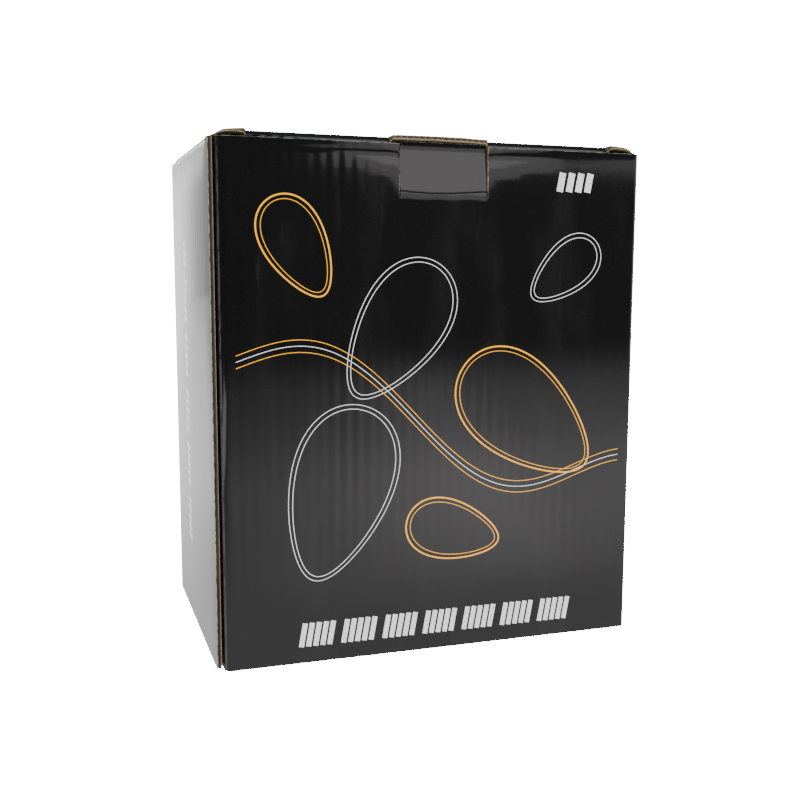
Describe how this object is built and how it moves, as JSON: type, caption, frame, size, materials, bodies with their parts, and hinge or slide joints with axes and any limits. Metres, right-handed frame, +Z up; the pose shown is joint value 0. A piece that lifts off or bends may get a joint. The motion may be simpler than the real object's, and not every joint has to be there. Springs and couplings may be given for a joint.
{
  "type": "boxed suspension trainer",
  "caption": "Closed tuck-top carton of fluted board with a packed suspension trainer inside: handles, foot cradles, folded straps, cam buckles, carabiner and door anchor.",
  "frame": {"origin": "middle of the carton's base, on the surface that it stands on", "axes": "+Z up, +Y towards the back panel, +X to the right seen from the front"},
  "size_m": [0.222, 0.155, 0.2583],
  "materials": {
    "printed_board": "gloss laminated black print",
    "webbing": "woven webbing",
    "grip_foam": "matt moulded rubber",
    "grip_tube": "matt",
    "grip_cap": "satin orange",
    "elastic": "ribbed elastic",
    "buckle_steel": "satin",
    "plated_steel": "zinc plated",
    "bright_steel": "bright",
    "pad_cover": "woven cover",
    "booklet_paper": "satin"
  },
  "bodies": {
    "root": {"carton_walls": "printed_board", "base_front_flap": "printed_board", "base_back_flap": "printed_board", "base_left_flap": "printed_board", "base_right_flap": "printed_board", "left_handle_webbing": "webbing", "left_foot_cradle": "webbing", "left_strap_hank": "webbing", "left_hank_tie": "elastic", "left_buckle_frame": "buckle_steel", "left_cam_pin": "bright_steel", "right_handle_webbing": "webbing", "right_foot_cradle": "webbing", "right_strap_hank": "webbing", "right_hank_tie": "elastic", "right_buckle_frame": "buckle_steel", "right_cam_pin": "bright_steel", "carabiner_body": "plated_steel", "gate_pin": "bright_steel", "anchor_strap": "webbing", "anchor_ring": "plated_steel", "door_anchor_pad": "pad_cover", "door_anchor_loop": "webbing", "guide_booklet": "booklet_paper"},
    "lid": {"lid_panel": "printed_board"},
    "tuck": {"tuck_flap": "printed_board"},
    "left_dust": {"left_dust_flap": "printed_board"},
    "right_dust": {"right_dust_flap": "printed_board"},
    "tab": {"lock_tab": "printed_board"},
    "left_grip": {"left_grip_sleeve": "grip_foam", "left_grip_tube": "grip_tube", "left_grip_cap_outer": "grip_cap", "left_grip_cap_inner": "grip_cap"},
    "right_grip": {"right_grip_sleeve": "grip_foam", "right_grip_tube": "grip_tube", "right_grip_cap_outer": "grip_cap", "right_grip_cap_inner": "grip_cap"},
    "left_lever": {"left_cam_lever": "plated_steel"},
    "right_lever": {"right_cam_lever": "plated_steel"},
    "gate": {"carabiner_gate": "plated_steel"}
  },
  "joints": [
    {"name": "lid_hinge", "type": "hinge", "parent": "root", "child": "lid", "pos_m": [0, 0.0745, 0.2553], "axis": [-1, 0, 0], "range_deg": [0, 120]},
    {"name": "tuck_crease", "type": "hinge", "parent": "lid", "child": "tuck", "pos_m": [0, -0.0711, 0.2553], "axis": [-1, 0, 0], "range_deg": [0, 24]},
    {"name": "left_dust_crease", "type": "hinge", "parent": "root", "child": "left_dust", "pos_m": [-0.108, 0, 0.252], "axis": [0, -1, 0], "range_deg": [0, 84]},
    {"name": "right_dust_crease", "type": "hinge", "parent": "root", "child": "right_dust", "pos_m": [0.108, 0, 0.252], "axis": [0, 1, 0], "range_deg": [0, 84]},
    {"name": "lock_tab_fold", "type": "hinge", "parent": "root", "child": "tab", "pos_m": [0.003, -0.0775, 0.233], "axis": [1, 0, 0], "range_deg": [0, 75]},
    {"name": "left_lever_hinge", "type": "hinge", "parent": "root", "child": "left_lever", "pos_m": [0.0693, -0.044, 0.1109], "axis": [0, -1, 0], "range_deg": [0, 70]},
    {"name": "right_lever_hinge", "type": "hinge", "parent": "root", "child": "right_lever", "pos_m": [-0.0693, -0.003, 0.1109], "axis": [0, 1, 0], "range_deg": [0, 70]},
    {"name": "left_grip_turn", "type": "hinge", "parent": "root", "child": "left_grip", "pos_m": [-0.0324, -0.044, 0.15], "axis": [1, 0, 0], "continuous": true},
    {"name": "right_grip_turn", "type": "hinge", "parent": "root", "child": "right_grip", "pos_m": [0.0324, -0.003, 0.15], "axis": [1, 0, 0], "continuous": true},
    {"name": "gate_hinge", "type": "hinge", "parent": "root", "child": "gate", "pos_m": [-0.088, 0.0255, 0.0236], "axis": [-1, 0, 0], "range_deg": [0, 28]}
  ],
  "couplings": [
    {"joint": "tuck_crease", "follows": "lid_hinge", "ratio": 0.2},
    {"joint": "left_dust_crease", "follows": "lid_hinge", "ratio": 0.7},
    {"joint": "right_dust_crease", "follows": "lid_hinge", "ratio": 0.7}
  ]
}
